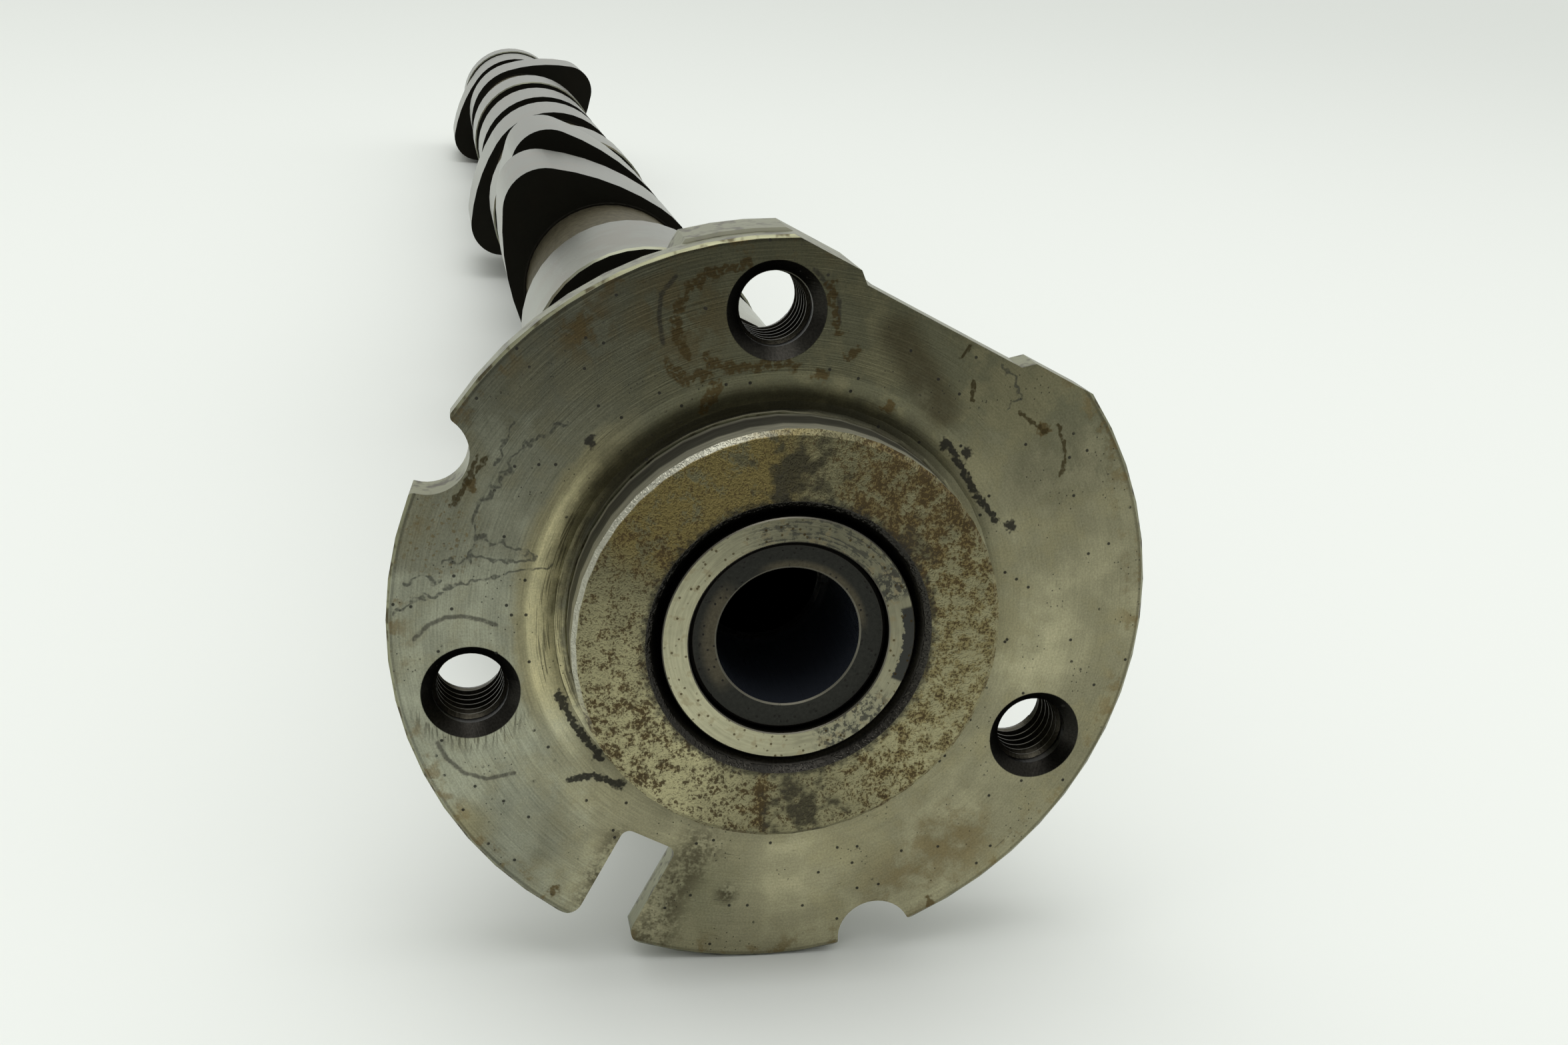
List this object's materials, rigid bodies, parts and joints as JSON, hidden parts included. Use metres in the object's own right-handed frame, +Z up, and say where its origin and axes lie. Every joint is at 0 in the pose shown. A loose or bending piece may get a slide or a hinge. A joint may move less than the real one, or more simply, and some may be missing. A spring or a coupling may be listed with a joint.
{
  "type": "camshaft",
  "caption": "Used engine camshaft with a notched drive flange, a raised pilot boss with a sleeved and bushed bore, and cams in pairs between ground bearing journals.",
  "frame": {"origin": "centre of the flange's front face, on the shaft's axis", "axes": "+Y along the shaft from the flange to its far end, +Z up as it lies, +X to the right seen from in front of the flange"},
  "size_m": [0.066, 0.5001, 0.066],
  "materials": {
    "machined_iron": "satin, ground faces with oil varnish and brown stains, rough brown core",
    "bright_steel": "bright turned face",
    "dark_sinter": "dark grey, slightly pitted"
  },
  "bodies": {
    "root": {"camshaft": "machined_iron", "bore_sleeve": "bright_steel", "bore_bush": "dark_sinter"}
  },
  "joints": []
}
